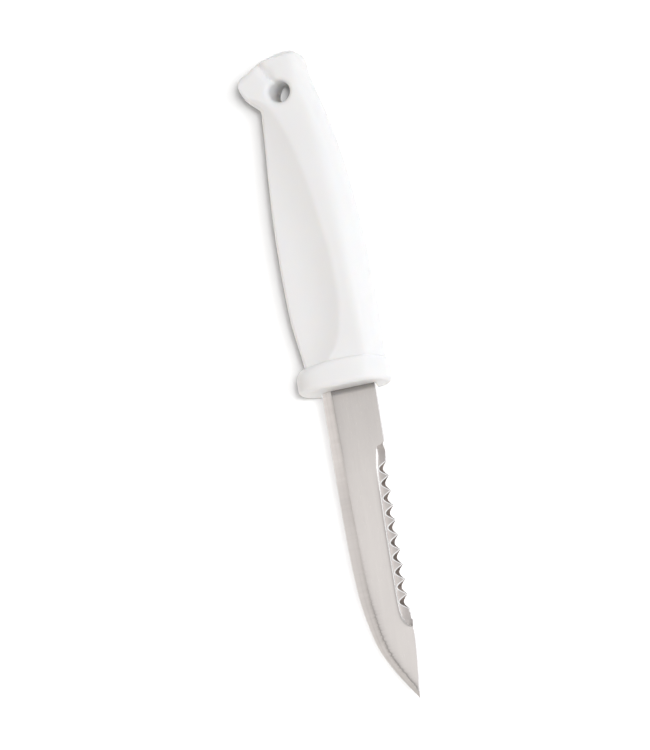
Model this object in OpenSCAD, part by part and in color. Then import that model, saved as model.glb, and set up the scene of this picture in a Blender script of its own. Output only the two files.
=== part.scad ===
// Rigging knife: a fixed blade with a saw-backed spine in a one-piece moulded handle.
// The knife lies on its side: +X towards the tip, +Y towards the spine, +Z up.
// Outlines are drawn from the guard's front face, on the blade's centre plane.

/* [Blade] */
// Exposed length of the blade, from the guard to the tip
blade_length = 101.6; // [101.6:0.1:103]
// Thickness of the steel
blade_thickness = 2.4; // [2:0.1:3]
// Width left at the cutting edge by each bevel
edge_land = 0.2; // [0.1:0.05:0.4]

/* [Saw back] */
// Number of round gullets cut into the spine
gullet_count = 10; // [6:1:10]
// Distance between neighbouring gullets
gullet_pitch = 4.77; // [4.4:0.01:4.8]
// Radius of the gullet cutter
gullet_radius = 3.1; // [2.8:0.1:3.3]
// Angle at which the gullets are cut through the steel
gullet_tilt = 38; // [20:1:42]
// Radius of the wheel that hollows the back of the spine
hollow_radius = 4.6; // [4.2:0.1:5.2]

/* [Handle] */
// Length of the handle, from the guard's front face to the butt
handle_length = 110; // [110:0.5:112]
// Thickness of the grip at its swell
grip_thickness = 19.4; // [18:0.2:19.6]
// Depth of the thumb scoop on each side
scoop_depth = 2.3; // [1:0.1:3]
// Diameter of the lanyard hole
lanyard_bore = 6.4; // [5:0.1:7]

/* [Guard] */
// Height of the guard, from belly to spine
guard_height = 29.8; // [29:0.2:31]
// Thickness of the guard, from side to side
guard_thickness = 19.6; // [19:0.2:20.4]
// Length of the guard along the knife
guard_length = 7.7; // [7:0.1:8.5]

/* [Hidden] */

// Blade outline, as [distance from the guard, height above the centre line]
edge_points = [[0, -9.5], [36, -9.2], [55, -8.7], [67, -7.8], [76, -6.2], [84, -3.9], [92, 0.3], [101.6, 6.8]];
// Height of the bevel above the cutting edge, along the blade
bevel_points = [[0, 3.3], [45, 4], [60, 3.9], [76, 3.4], [88, 2.7], [97, 2.2], [101.6, 1.2]];
spine_at_guard = 8.6;
spine_drop_start = 80;
spine_drop = 1.8;
blade_steps = 48;
blade_half = blade_thickness / 2;
bevel_overcut = 1;

// Hollow at the back of the spine: its outline and the depth of its wheel
hollow_front = 17.6;
hollow_back = 78.8;
hollow_floor_height = 4.55;
hollow_run_in = 3.4;
hollow_corner = 1.6;
hollow_front_corner = 1.2;
hollow_wheel_height = 8.6;
hollow_wheel_side = 3.35;
first_gullet = 27.3;
gullet_bottom = 6.05;
saw_clearance = 6;

// Hidden tang
shoulder_depth = 3.5;
tang_length = 74;
tang_low = -5;
tang_high = 4.2;
tang_end_radius = 3;
lock_hole_radius = 2.6;
lock_holes = [-24, -52];

// Grip outline: each row is a section line, from [back, height] at the belly to the same at the spine
grip_lines = [
    [[8, -13.1], [8, 12.35]],
    [[15, -14.1], [15, 12.45]],
    [[25, -15.4], [25, 12.5]],
    [[40, -15.95], [40, 12.05]],
    [[55, -15.95], [55, 11.1]],
    [[70, -15.4], [70, 9.5]],
    [[82, -14.7], [82, 7.6]],
    [[89.5, -14.3], [89.5, 6]],
    [[93.2, -14.7], [94, 4.95]],
    [[95.2, -17.2], [97.5, 3.9]],
    [[98.4, -19.6], [101, 2.95]],
    [[101.6, -20.9], [104, 2.35]],
    [[103.4, -19.9], [107, 1.85]]
];
// Butt end, from the hook to the spine, as [back, height]
butt_points = [[103.4, -19.9], [106.3, -14.7], [108.7, -9.2], [109.9, -4.4], [109.3, -0.8], [107, 1.85]];
butt_length = 110;
butt_bow_lines = 4;
butt_rounding = 1.8;
// Half thickness of the grip along its length, as a share of the swell
thickness_points = [[0, 0.87], [10, 0.88], [28, 0.96], [48, 1], [70, 0.93], [90, 0.8], [110, 0.76]];
// Crest of the side scoop along the handle, as [back, height]
crest_points = [[0, -9], [10, -2.6], [15, 0.8], [22, 2.7], [32, 3.4], [46, 2.2], [62, -0.5], [76, -3], [88, -8], [98, -14]];
scoop_width = 3.2;
scoop_fall = 0.03;
crest_blend = 0.5;
face_blend = 1.2;
crown = 1.3;
section_power = 2.3;
section_steps = 28;
line_steps = 3;
round_steps = 4;
grip_half = grip_thickness / 2;

// Lanyard hole and its groove
lanyard_back = 96.7;
lanyard_height = -6;
groove_radius = 2.4;
groove_depth = 0.9;
groove_turn = 29;
groove_reach = 20;

// Guard
guard_centre = -1.5;
guard_bow = 0.9;
guard_rim = 1.5;
guard_power = 2.5;
guard_crown = 1.06;
guard_half_height = guard_height / 2;
guard_half_thickness = guard_thickness / 2;

// From the drawing origin to the middle of the knife's footprint
hook_low = -20.95;
guard_high = guard_centre + guard_half_height;
centre_x = (blade_length - handle_length) / 2;
centre_y = (hook_low + guard_high) / 2;

// Value at x of a smooth curve through points that are sorted along x
function span(p, x, i = 0) = i >= len(p) - 2 || x <= p[i + 1][0] ? i : span(p, x, i + 1);
function rise(p, i) =
    let (a = max(i - 1, 0), b = min(i + 1, len(p) - 1))
    (p[b][1] - p[a][1]) / (p[b][0] - p[a][0]);
function along(p, x) =
    let (i = span(p, x), w = p[i + 1][0] - p[i][0], t = (x - p[i][0]) / w)
    hermite(p[i][1], p[i + 1][1], rise(p, i) * w, rise(p, i + 1) * w, t);
function hermite(a, b, da, db, t) =
    a + t * da + t * t * (3 * (b - a) - 2 * da - db) + t * t * t * (2 * (a - b) + da + db);

// Point at t, counted in points, on a smooth curve through any row of points
function through(p, t) =
    let (
        n = len(p) - 1,
        i = min(floor(t), n - 1),
        before = p[max(i - 1, 0)],
        after = p[min(i + 2, n)]
    )
    hermite(p[i], p[i + 1], (p[i + 1] - before) / 2, (after - p[i]) / 2, t - i);

// Lower of two heights, blended where they meet
function soft_low(a, b, k) =
    let (h = max(k - abs(a - b), 0) / k)
    min(a, b) - h * h * k / 4;

function spine_height(x) =
    spine_at_guard - spine_drop * pow(max(x - spine_drop_start, 0) / (blade_length - spine_drop_start), 1.6);
function edge_height(x) = along(edge_points, x);
function bevel_height(x) = edge_height(x) + along(bevel_points, x);

// Solid from equal rings of points, closed at both ends
module loft(rings, first_cap, last_cap) {
    n = len(rings[0]);
    sides = [
        for (r = [0:len(rings) - 2], i = [0:n - 1])
        let (a = r * n + i, b = r * n + (i + 1) % n)
        each [[a, b + n, b], [a, a + n, b + n]]
    ];
    polyhedron(points = [for (ring = rings) each ring], faces = concat(first_cap, sides, last_cap), convexity = 6);
}

// Steel that each bevel grinds away, on the upper face
module bevel_cutter() {
    xs = concat(
        [-shoulder_depth - bevel_overcut],
        [for (i = [0:blade_steps]) blade_length * i / blade_steps],
        [blade_length + bevel_overcut]
    );
    rings = [
        for (x = xs)
        let (
            at = max(0, min(x, blade_length)),
            low = edge_height(at),
            high = bevel_height(at),
            slope = (blade_half - edge_land / 2) / (high - low)
        )
        [
            [x, low - bevel_overcut, edge_land / 2 - slope * bevel_overcut],
            [x, high + bevel_overcut, blade_half + slope * bevel_overcut],
            [x, low - bevel_overcut, blade_half + slope * bevel_overcut]
        ]
    ];
    last = 3 * (len(xs) - 1);
    loft(rings, [[0, 1, 2]], [[last + 2, last + 1, last]]);
}

module blade_blank() {
    xs = [for (i = [0:blade_steps]) blade_length * i / blade_steps];
    translate([0, 0, -blade_half])
    linear_extrude(blade_thickness)
    polygon(concat(
        [[-shoulder_depth, edge_height(0)]],
        [for (x = xs) [x, edge_height(x)]],
        [for (i = [0:blade_steps - 1]) let (x = xs[blade_steps - i]) [x, spine_height(x)]],
        [[-shoulder_depth, spine_height(0)]]
    ));
}

module tang() {
    translate([0, 0, -blade_half])
    linear_extrude(blade_thickness)
    difference() {
        union() {
            translate([-tang_length + tang_end_radius, tang_low])
            square([tang_length - tang_end_radius, tang_high - tang_low]);
            translate([-tang_length, tang_low + tang_end_radius])
            square([tang_length, tang_high - tang_low - 2 * tang_end_radius]);
            for (y = [tang_low + tang_end_radius, tang_high - tang_end_radius])
                translate([-tang_length + tang_end_radius, y])
                circle(tang_end_radius, $fn = 48);
        }
        for (x = lock_holes)
            translate([x, (tang_low + tang_high) / 2])
            circle(lock_hole_radius, $fn = 48);
    }
}

// Region of the spine that is hollowed, seen from the side
module hollow_region() {
    top = spine_at_guard + saw_clearance;
    run = top - hollow_floor_height;
    offset(r = hollow_front_corner)
    offset(r = -hollow_front_corner)
    polygon([
        [hollow_front + hollow_run_in - run, top],
        [hollow_front + hollow_run_in, hollow_floor_height],
        [hollow_back - hollow_corner, hollow_floor_height],
        [hollow_back, hollow_floor_height + 2 * hollow_corner],
        [hollow_back, top]
    ]);
}

// The wheel's path along the spine, kept to the hollowed region
module saw_hollow() {
    intersection() {
        translate([0, 0, -blade_thickness])
        linear_extrude(3 * blade_thickness)
        hollow_region();
        translate([hollow_front - saw_clearance, hollow_wheel_height, hollow_wheel_side])
        rotate([0, 90, 0])
        cylinder(h = hollow_back - hollow_front + 2 * saw_clearance, r = hollow_radius, $fn = 128);
    }
}

module gullets() {
    for (i = [0:gullet_count - 1])
        translate([first_gullet + i * gullet_pitch, gullet_bottom, -blade_half])
        rotate([gullet_tilt, 0, 0])
        translate([0, gullet_radius, 0])
        cylinder(h = 4 * blade_thickness, r = gullet_radius, center = true, $fn = 64);
}

// Blank with its tang, hollowed and then toothed along the spine
module saw_backed_blank() {
    difference() {
        difference() {
            union() {
                blade_blank();
                tang();
            }
            saw_hollow();
        }
        gullets();
    }
}

// The whole piece of steel, about the drawing origin
module steel() {
    difference() {
        saw_backed_blank();
        bevel_cutter();
        mirror([0, 0, 1]) bevel_cutter();
    }
}

// Places a drawing about the middle of the knife's footprint, resting on the plane z = 0
module lay_down() {
    translate([-centre_x, -centre_y, guard_half_thickness])
    children();
}

module blade() {
    color("lightgray")
    lay_down()
    steel();
}

// Point of the grip outline on section line t, at share v of the way from belly to spine
function line_point(t, v) =
    let (
        belly = through([for (g = grip_lines) g[0]], t),
        spine = through([for (g = grip_lines) g[1]], t),
        last = len(grip_lines) - 1,
        bow = max(t - last + butt_bow_lines, 0) / butt_bow_lines,
        ends = len(butt_points) - 1,
        chord = butt_points[0] + (butt_points[ends] - butt_points[0]) * v
    )
    belly + (spine - belly) * v + (through(butt_points, v * ends) - chord) * bow * bow;

// Height of the grip's side face at a point p = [back, height], u from -1 at the belly to 1 at the spine
function face_height(p, u) =
    let (
        swell = grip_half * along(thickness_points, p[0]),
        arch = crown * swell * pow(1 - pow(abs(u), section_power), 1 / section_power),
        gap = along(crest_points, p[0]) - p[1],
        fall = gap > 0 ? scoop_depth * (1 - exp(-gap / scoop_width)) + scoop_fall * gap : gap * scoop_depth / scoop_width
    )
    soft_low(soft_low(swell, arch, face_blend), swell - fall, crest_blend);

// Ring of 3-D points from a row of [back, height, side] points on the upper face
function ring(top) =
    let (n = len(top) - 1)
    concat(
        [for (p = top) [-p[0], p[1], p[2]]],
        [for (i = [1:n - 1]) let (p = top[n - i]) [-p[0], p[1], -p[2]]]
    );

function share(i) = sin(90 * (2 * i / section_steps - 1));
function guard_point(u, inset) = [
    guard_centre + (guard_half_height - inset) * u,
    (guard_half_thickness - inset) * min(1, guard_crown * pow(1 - pow(abs(u), guard_power), 1 / guard_power))
];
function guard_back(u) = guard_length + guard_bow * (1 - u * u);

// Rings of the guard, from its front face to where it meets the grip
function guard_front_rings() = [
    for (k = [0:round_steps])
    let (a = 90 * k / round_steps)
    ring([
        for (i = [0:section_steps])
        let (g = guard_point(share(i), guard_rim * (1 - sin(a))))
        [guard_rim * (1 - cos(a)), g[0], g[1]]
    ])
];
function guard_back_rings() = [
    for (k = [0:round_steps])
    let (a = 90 * k / round_steps)
    ring([
        for (i = [0:section_steps])
        let (
            u = share(i),
            g = guard_point(u, 0),
            p = line_point(0, (u + 1) / 2),
            z = face_height(p, u),
            edge = norm([g[0] - p[1], g[1] - z]),
            depth = min(edge, guard_length / 2),
            m = cos(a)
        )
        [guard_back(u) - depth * (1 - sin(a)), p[1] + (g[0] - p[1]) * m, z + (g[1] - z) * m]
    ])
];

// Rings of the grip, then of the rounding at the butt
function grip_rings() =
    let (last = line_steps * (len(grip_lines) - 1))
    [
        for (k = [1:last - 1])
        ring([
            for (i = [0:section_steps])
            let (
                u = share(i),
                p = line_point(k / line_steps, (u + 1) / 2),
                q = p - [butt_rounding * k / last, 0]
            )
            [q[0], q[1], face_height(q, u)]
        ])
    ];
function butt_rings() =
    let (last = len(grip_lines) - 1)
    [
        for (k = [0:round_steps])
        let (a = 90 * k / round_steps)
        ring([
            for (i = [0:section_steps])
            let (
                u = share(i),
                p = line_point(last, (u + 1) / 2),
                q = p - [butt_rounding * (1 - sin(a)), 0],
                shrink = 1 - butt_rounding / grip_half * (1 - cos(a))
            )
            [q[0], q[1], face_height(q, u) * shrink]
        ])
    ];

// Outer shape of the moulding, from the guard's front face to the butt
module handle_shape() {
    rings = concat(guard_front_rings(), guard_back_rings(), grip_rings(), butt_rings());
    n = len(rings[0]);
    base = n * (len(rings) - 1);
    front = [[for (i = [0:n - 1]) i]];
    butt = [
        for (i = [0:section_steps - 1])
        let (
            a = base + i,
            b = base + i + 1,
            c = base + (n - i - 1) % n,
            d = base + (n - i) % n
        )
        each (i == 0 ? [[a, c, b]] : i == section_steps - 1 ? [[a, d, b]] : [[a, c, b], [a, d, c]])
    ];
    loft(rings, front, butt);
}

module lanyard_hole() {
    translate([-lanyard_back, lanyard_height, 0])
    cylinder(h = 2 * grip_thickness, r = lanyard_bore / 2, center = true, $fn = 64);
}

// Groove from the lanyard hole to the butt, on one face
module lanyard_groove() {
    face = grip_half * along(thickness_points, lanyard_back);
    translate([-lanyard_back, lanyard_height, face + groove_radius - groove_depth])
    rotate([0, 0, 180 + groove_turn])
    rotate([0, 90, 0])
    cylinder(h = groove_reach, r = groove_radius, $fn = 48);
}

module handle() {
    color("white")
    lay_down()
    difference() {
        handle_shape();
        lanyard_hole();
        lanyard_groove();
        mirror([0, 0, 1]) lanyard_groove();
        steel_in_handle();
    }
}

// The steel that the handle is moulded round
module steel_in_handle() {
    intersection() {
        steel();
        translate([-handle_length, -guard_height, -blade_thickness])
        cube([handle_length, 2 * guard_height, 2 * blade_thickness]);
    }
}

blade();
handle();
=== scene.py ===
import math
import bmesh
import bpy
import numpy as np
from mathutils import Matrix, Vector


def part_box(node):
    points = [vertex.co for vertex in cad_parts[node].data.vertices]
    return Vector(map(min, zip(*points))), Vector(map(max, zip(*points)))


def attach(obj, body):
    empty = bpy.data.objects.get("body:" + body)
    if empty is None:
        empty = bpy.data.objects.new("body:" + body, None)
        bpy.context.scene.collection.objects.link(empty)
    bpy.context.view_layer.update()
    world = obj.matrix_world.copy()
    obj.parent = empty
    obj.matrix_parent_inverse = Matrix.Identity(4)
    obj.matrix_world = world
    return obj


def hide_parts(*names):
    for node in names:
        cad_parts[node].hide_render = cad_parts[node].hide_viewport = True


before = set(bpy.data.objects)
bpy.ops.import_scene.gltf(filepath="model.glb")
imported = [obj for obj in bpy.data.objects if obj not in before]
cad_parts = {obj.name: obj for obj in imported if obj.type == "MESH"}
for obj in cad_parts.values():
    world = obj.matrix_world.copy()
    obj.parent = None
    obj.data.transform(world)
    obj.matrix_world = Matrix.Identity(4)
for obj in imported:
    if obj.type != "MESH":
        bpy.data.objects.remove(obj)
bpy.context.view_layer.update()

# Sizes below are in millimetres and are turned to metres when a mesh is made.
# The drawing origin is where the blade's centre line leaves the guard's front face:
# +x towards the tip, +y towards the spine, +z up.
MM = 0.001

# ---------------------------------------------------------------- blade dimensions
# Points are [distance from the guard, height] or [distance from the guard, width]
EDGE_POINTS = [
    [0, -9.5], [36, -9.2], [55, -8.7], [67, -7.8], [76, -6.2], [84, -3.9], [92, 0.3], [101.6, 6.8],
]
BEVEL_POINTS = [[0, 3.3], [45, 4], [60, 3.9], [76, 3.4], [88, 2.7], [97, 2.2], [101.6, 1.2]]
BLADE_LENGTH = 101.6
BLADE_HALF = 1.2         # half of the steel's thickness
EDGE_HALF = 0.06         # half of its thickness at the edge
SPINE_AT_GUARD = 8.6
SPINE_DROP_START = 80    # where the spine starts to fall towards the tip
SPINE_DROP = 1.8
SPINE_DROP_POWER = 1.6
SPINE_CHAMFER = 0.22
BEVEL_STEP = 0.72        # share of the bevel's width that the main grind takes
BEVEL_STEP_HEIGHT = 0.6  # share of its height there
SHOULDER_DEPTH = 3.5
TANG = (-5.0, 4.2)       # heights of the tang's lower and upper edges
TANG_LENGTH = 74

# Hollow ground along the back of the spine, and the gullets cut in it
HOLLOW_FRONT = 19.0
HOLLOW_FRONT_LEAN = 0.47  # how far the front line runs towards the tip for each mm down
HOLLOW_BACK = 78.8
HOLLOW_LINE = [
    [16, 6.6], [20, 5.7], [22, 5.3], [24, 5.0], [26, 4.7], [29, 4.54], [34, 4.5], [46, 4.4], [60, 4.45],
    [71, 4.6], [75, 5.05], [77, 5.9], [79, 7.4],
]
HOLLOW_CORNER = 1.4
HOLLOW_FRONT_CORNER = 0.8
HOLLOW_DEPTH = 2.33      # where only a thin land is left
HOLLOW_CUT = 1.0         # how far below the spine that is
CUT_DEPTH = 0.75         # how far the spine's edge lies back along the hollow
CUT_FRONT = 18.6         # where it starts to
CUT_FRONT_LENGTH = 1.3
CUT_BACK = 82.5          # where it is back on the spine's line
CUT_BACK_LENGTH = 9.0
WALL_SLOPE = 2.2         # slope of the wall where the hollow leaves the flat
WALL_WIDTH = [
    [0, 0.1], [19, 0.1], [20.6, 0.16], [22.4, 0.4], [24, 0.42], [27, 0.34], [31, 0.28], [38, 0.22],
    [48, 0.22], [79, 0.2], [102, 0.2],
]
WALL_BLEND = 0.15
BRIGHT_WALL_FRONT = 20.7  # where the wall starts to shine
STEEPEST_FLOOR = 0.9      # slope of the hollow's floor, at the most
NARROWEST_FLOOR = 0.5
FIRST_GULLET = 27.3
GULLET_PITCH = 4.77
GULLET_COUNT = 10
GULLET_ROUND = 1.4       # radius at the bottom of a gullet
GULLET_FLANK = 1.1       # slope of its sides
GULLET_BOTTOM = 6.03
GULLET_TILT = math.radians(30)
LAND = 0.07              # thickness of steel that is always left
RIM_CHAMFER = 0.32       # width of the chamfer along the gullets' rim
RIM_CHAMFER_SLOPE = 0.6
RIM_CHAMFER_SHARE = 0.35  # share of the hollow's width that it takes, at the most

# Lines along the blade that its sections share
WALL_STEPS = 4
FLOOR_STEPS = 10
BEVEL_EDGES = (-0.7, -0.25)  # extra lines inside the bevel, from the bevel's upper line
FLAT_EDGES = (0.3, 0.8, 1.8)  # extra lines on the flat, from the same line
LAST_FLAT_EDGE = 2.5     # least place of the line that runs beside the hollow
HOLLOW_MARGIN = 0.4      # how far that line lies outside the hollow
FOOT_MARGIN = 0.04       # how far the line at the wall's foot lies inside the floor
FOOT_SHARE = 0.8         # share of the hollow's width at which it lies, at the most
LINE_GAP = 0.002         # keeps the bevel's upper line below the spine
LEAST_HEIGHT = 1e-4      # least height in which the rim is looked for
LEAST_WIDTH = 0.01       # stands for no width where a width divides
LOWER_POINTS = 4         # points of a section on the lower face

# Places of the sections along the blade
STATION_SPACING = 0.8
FINE_STATIONS = 60       # in each stretch where the outline turns
TIP_STRETCH = 12         # before the tip
FRONT_STRETCH = (-0.1, 8)  # from the hollow's front
BACK_STRETCH = (-5, 0.2)  # from the hollow's back end
GULLET_STATIONS = 25     # over each gullet's pitch
FLANK_STATIONS = 30      # over the outer flanks of the first and the last gullet
FLANK_MARGIN = 0.1
TIP_DISTANCES = np.geomspace(0.01, 0.3, 6)  # of the last sections from the tip
CLOSEST_STATIONS = 0.004
OUTLINE_MARGIN = 0.05    # how far past its ends a section still counts as hollowed

BLADE_MERGE = 0.002      # points closer than this become one
BLADE_SHARP = math.radians(11)

# --------------------------------------------------------------- handle dimensions
# Section lines of the grip, as [distance back from the guard, height]
GRIP_BELLY = [
    [8, -13.1], [15, -14.1], [25, -15.4], [40, -15.95], [55, -15.95], [70, -15.4], [82, -14.7],
    [89.5, -14.35], [93.6, -14.3], [95.6, -15.8], [97.9, -18.0], [100.5, -19.2], [102.2, -19.4],
]
GRIP_SPINE = [
    [8, 12.35], [15, 12.45], [25, 12.5], [40, 12.05], [55, 11.1], [70, 9.5], [82, 7.6],
    [89.5, 6], [93.5, 5.0], [96.8, 4.1], [100, 3.25], [103, 2.4], [105.8, 1.6],
]
# The butt's outline, from the beak at the belly to the corner at the spine
BUTT_POINTS = [
    [102.2, -19.4], [103.4, -18.1], [104.7, -15.5], [107.1, -12.0], [108.8, -8.0], [109.55, -4.5],
    [109.65, -2.0], [108.8, 0.1], [105.8, 1.6],
]
BUTT_BOW_LINES = 4       # section lines over which they turn from straight to the butt's bow
BUTT_ROUNDING = 2.4
GRIP_HALF = 9.7
THICKNESS_POINTS = [[0, 0.87], [10, 0.88], [28, 0.96], [48, 1], [70, 0.93], [90, 0.8], [110, 0.76]]
# Line along the side face from which the scoop falls away towards the belly
CREST_POINTS = [
    [0, -9], [9, -3.2], [14, 0.4], [20, 2.3], [26, 3.2], [34, 3.2], [43, 2.8], [53, 1.3], [62, -0.1],
    [70, -1.8], [77, -3.6], [84, -5.9], [88, -7.6], [91, -9.2], [94, -11.6], [97, -17], [100, -26],
]
SCOOP_SLOPE = 0.36       # slope of the scoop just below its crest
SCOOP_WIDTH = 13         # distance over which that slope dies away
SCOOP_FALL = 0.02        # slope that stays
CREST_BLEND = 0.35
BELLY_BLEND = 1.2
SPINE_BLEND = 2.0
SPINE_CROWN = [[0, 1.38], [30, 1.38], [60, 1.31], [110, 1.26]]
BELLY_CROWN = [[0, 1.3], [86, 1.3], [92, 1.32], [98, 1.75], [110, 2.1]]
SECTION_POWER = 2.3
RELIEF_FADE = 3.0        # height of the side face under which the groove and the hole's rim fade out

GUARD_CENTRE = -1.5
GUARD_HALF_HEIGHT = 14.9
GUARD_HALF_THICKNESS = 9.8
GUARD_LENGTH = 7.7
GUARD_BOW = 0.9
GUARD_RIM = 1.5
GUARD_POWER = 2.5
GUARD_CROWN = 1.08
GUARD_BLEND = 0.16
SLOT_GAP = 0.05          # clearance round the steel in the handle's cavity

LANYARD = np.array([96.7, -6.0])
LANYARD_RADIUS = 3.4
LANYARD_RIM = 1.7
GROOVE_TURN = math.radians(34)
GROOVE_OFFSET = 0.6
GROOVE_DEPTH = 1.5
GROOVE_WIDTH = 1.9
GROOVE_SHAPE = 1.25

# The handle's grid
GRIP_SPACING = 0.34
SECTION_PLACES = 97      # across a section
SEAM_GAP = 1.2e-5        # how far, as a share, the lines beside the seams lie from them
HOLE_CELLS = 9           # half the width, in cells, of the square that becomes the hole
RIM_CELLS = 6            # rings of cells over the rounded rim
BLEND_CELLS = 18         # half the width of the square in which the grid bends round the hole
GUARD_RIM_STEPS = 8
GUARD_SIDE_STEPS = 8
GUARD_BACK_STEPS = 12
BUTT_STEPS = 8

HANDLE_MERGE = 0.001     # points closer than this become one
HANDLE_SHARP = math.radians(38)

# ------------------------------------------------------------------ looks of the steel
# Tables are [distance from the guard, value] where nothing else is said
# Painted shade on the flat: the guard's shadow close to it, and darker steel towards the guard
FLAT_PAINTED_SHADE = [
    [0, 0.45], [1.0, 0.52], [1.9, 0.78], [9, 0.82], [18, 0.87], [28, 0.93], [45, 0.975], [60, 0.98],
    [101, 0.97],
]
# Painted light on the bevel: shade next to the guard, and reflections that brighten and dim along the blade
BEVEL_PAINTED_LIGHT = [
    [0, 0.85], [1.5, 1.0], [12, 1.0], [22, 1.0], [35, 0.85], [50, 0.87], [70, 0.89], [85, 0.92], [95, 0.9],
    [101, 0.82],
]
# Painted shade in the hollow, darkest at its front and back ends
HOLLOW_PAINTED_SHADE = [
    [19, 0.46], [20.5, 0.64], [23, 0.78], [27, 0.84], [34, 0.98], [74, 1.02], [77, 0.85], [79, 0.5],
]
# Painted shade that darkens the hollow's floor away from its outline, towards the spine
HOLLOW_PAINTED_FALL = [[0.4, 1.0], [1.2, 0.84], [3.0, 0.7]]  # over the height above the hollow's outline
# Painted light on the hollow's steep wall: bright near the front, dimmed towards the back
WALL_PAINTED_LIGHT = [
    [19, 0.96], [27, 0.94], [32, 0.84], [38, 0.74], [50, 0.7], [74, 0.7], [76.5, 0.42], [79, 0.3],
]
GRIND_LINE = [
    [0, 0.2], [18, 0.2], [30, 0.09], [50, 0.07], [62, 0.18], [72, 0.34], [88, 0.42], [101, 0.45],
]
RAGGED = [[0, 0.2], [40, 0.3], [62, 0.9], [101, 0.9]]
RAGGED_REACH = 0.8       # how far up and down the grinding line strays where RAGGED is 1
# Strength along the blade of the painted shade line on the flat beside the hollow's outline
EDGE_PAINTED_SHADE = [[17, 0.0], [28, 0.0], [36, 0.28], [50, 0.34], [79, 0.36]]
# Dark lines as (middle, width, strength), the first three above the bevel's upper line; the last is painted
# shade
LINE_CORE = (0.05, 0.32, 1.0)
LINE_SKIRT = (0.5, 1.1, 0.3)
FAINT_LINE = (-1.9, 0.3, 0.25)
HOLLOW_EDGE_PAINTED_SHADE = (-0.2, 0.28, 1.0)  # above the hollow's outline
# Grains in waves to the metre
FINE_GRAIN = 5200
BROAD_GRAIN = 700
STREAKS = 1500
GRAIN_DEPTH = 0.00002    # in metres
ROUGHNESS_SPREAD = (-0.05, 0.06)

# ------------------------------------------------------------------------------ view
AIM = (-5.74, -7.56)     # middle of the picture, from the drawing origin
VIEW_HEIGHT = 236.593    # from the top of the picture to its bottom
CAMERA_LEAN = (0.17, 0.27)  # level part of the direction to the camera, along x and y
CAMERA_ROLL = math.radians(9.0)
CAMERA_DISTANCE = 5.0    # in metres
FLOOR_HALF = 3.0         # in metres


# ------------------------------------------------------------------------- curves
def hermite(a, b, da, db, t):
    """Value at t from 0 to 1 between a and b, with the slopes da and db at the ends."""
    return a + t * da + t * t * (3 * (b - a) - 2 * da - db) + t * t * t * (2 * (a - b) + da + db)


def along(points, x):
    """Value at x of a smooth curve through points sorted along x."""
    p = np.asarray(points, float)
    n = len(p)
    before = np.maximum(np.arange(n) - 1, 0)
    after = np.minimum(np.arange(n) + 1, n - 1)
    slope = (p[after, 1] - p[before, 1]) / (p[after, 0] - p[before, 0])
    i = np.clip(np.searchsorted(p[:, 0], x) - 1, 0, n - 2)
    w = p[i + 1, 0] - p[i, 0]
    return hermite(p[i, 1], p[i + 1, 1], slope[i] * w, slope[i + 1] * w, (x - p[i, 0]) / w)


def through(points, t):
    """Point at t, counted in points, on a smooth curve through any row of points."""
    p = np.asarray(points, float)
    n = len(p) - 1
    t = np.asarray(t, float)
    i = np.clip(np.floor(t).astype(int), 0, n - 1)
    before = p[np.maximum(i - 1, 0)]
    after = p[np.minimum(i + 2, n)]
    start, end = p[i], p[i + 1]
    return hermite(start, end, (end - before) / 2, (after - start) / 2, (t - i)[..., None])


def ease(share):
    """Share from 0 to 1 that starts and ends gently."""
    return share * share * (3 - 2 * share)


def soft_low(a, b, k):
    """Lower of two heights, blended where they meet."""
    h = np.maximum(k - np.abs(a - b), 0) / k
    return np.minimum(a, b) - h * h * k / 4


def bisect(inside, low, high, rounds=44):
    """Highest value between low and high for which inside(value) holds, for whole arrays."""
    for _ in range(rounds):
        middle = (low + high) / 2
        ok = inside(middle)
        low = np.where(ok, middle, low)
        high = np.where(ok, high, middle)
    return low


# -------------------------------------------------------------------------- meshes
def drawing_origin():
    """Where the drawing origin lies in the frame, in metres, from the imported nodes' boxes."""
    blade_low, blade_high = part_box("blade")
    handle_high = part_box("handle")[1]
    return Vector((
        handle_high[0],
        blade_high[1] - SPINE_AT_GUARD * MM,
        (blade_low[2] + blade_high[2]) / 2,
    ))


ORIGIN = drawing_origin()


def make_object(name, points, faces, materials, slots=None):
    """Mesh object from points in millimetres about the drawing origin."""
    mesh = bpy.data.meshes.new(name)
    verts = np.asarray(points, float) * MM + np.array(ORIGIN)
    mesh.from_pydata(verts.tolist(), [], faces)
    for m in materials:
        mesh.materials.append(m)
    if slots is not None:
        mesh.polygons.foreach_set("material_index", slots)
    mesh.polygons.foreach_set("use_smooth", [True] * len(mesh.polygons))
    mesh.validate()
    mesh.update()
    ob = bpy.data.objects.new(name, mesh)
    bpy.context.scene.collection.objects.link(ob)
    return ob


def clean_mesh(ob, distance):
    """Joins points closer than the distance in metres, and drops points that no face uses."""
    bm = bmesh.new()
    bm.from_mesh(ob.data)
    bmesh.ops.remove_doubles(bm, verts=bm.verts, dist=distance)
    bmesh.ops.dissolve_degenerate(bm, edges=bm.edges, dist=distance)
    bmesh.ops.recalc_face_normals(bm, faces=bm.faces)
    bmesh.ops.delete(bm, geom=[v for v in bm.verts if not v.link_faces], context="VERTS")
    bm.to_mesh(ob.data)
    bm.free()


# --------------------------------------------------------------------------- blade
def edge_y(x):
    """Height of the cutting edge."""
    return along(EDGE_POINTS, x)


def spine_y(x):
    """Height of the spine, before the hollow's grinding draws its edge in."""
    drop = np.maximum(x - SPINE_DROP_START, 0) / (BLADE_LENGTH - SPINE_DROP_START)
    return SPINE_AT_GUARD - SPINE_DROP * drop ** SPINE_DROP_POWER


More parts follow.
